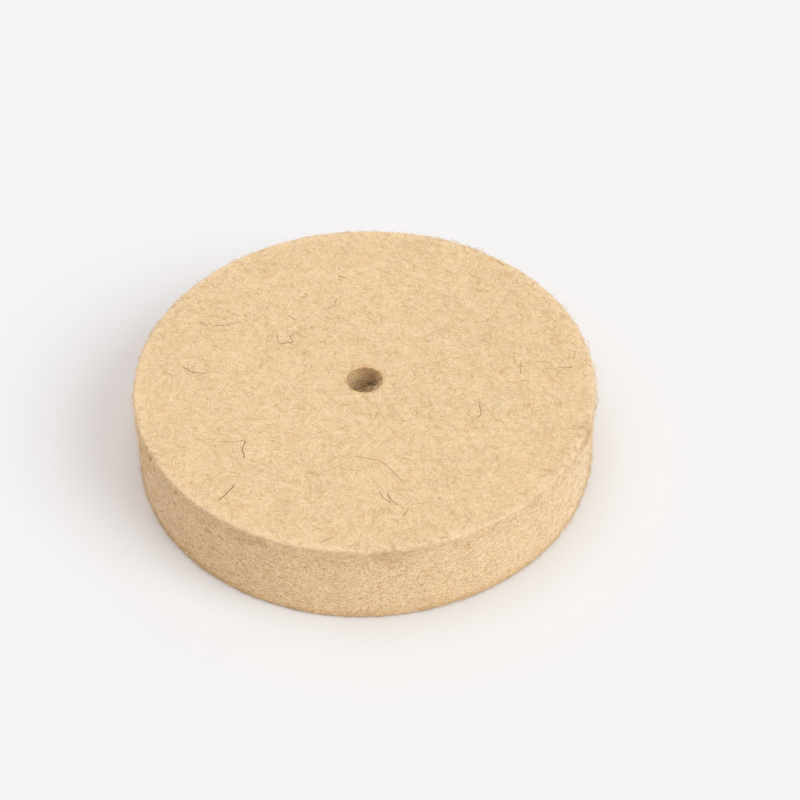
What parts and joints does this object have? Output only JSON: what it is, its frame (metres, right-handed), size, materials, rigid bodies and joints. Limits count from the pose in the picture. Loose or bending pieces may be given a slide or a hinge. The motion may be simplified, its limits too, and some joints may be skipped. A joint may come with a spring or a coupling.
{
  "type": "felt polishing wheel",
  "caption": "Thick round polishing wheel of pressed coarse wool felt with flat faces, a straight cut rim and a small central bore for a spindle.",
  "frame": {"origin": "centre of the bore in the plane of the lower face", "axes": "+Z along the bore axis, from the lower face to the upper face; the wheel looks the same along +X and +Y"},
  "size_m": [0.125, 0.125, 0.025],
  "materials": {
    "wool_felt": "matte, dense undyed coarse wool felt with loose surface fibres"
  },
  "bodies": {
    "root": {"felt_wheel": "wool_felt"}
  },
  "joints": []
}
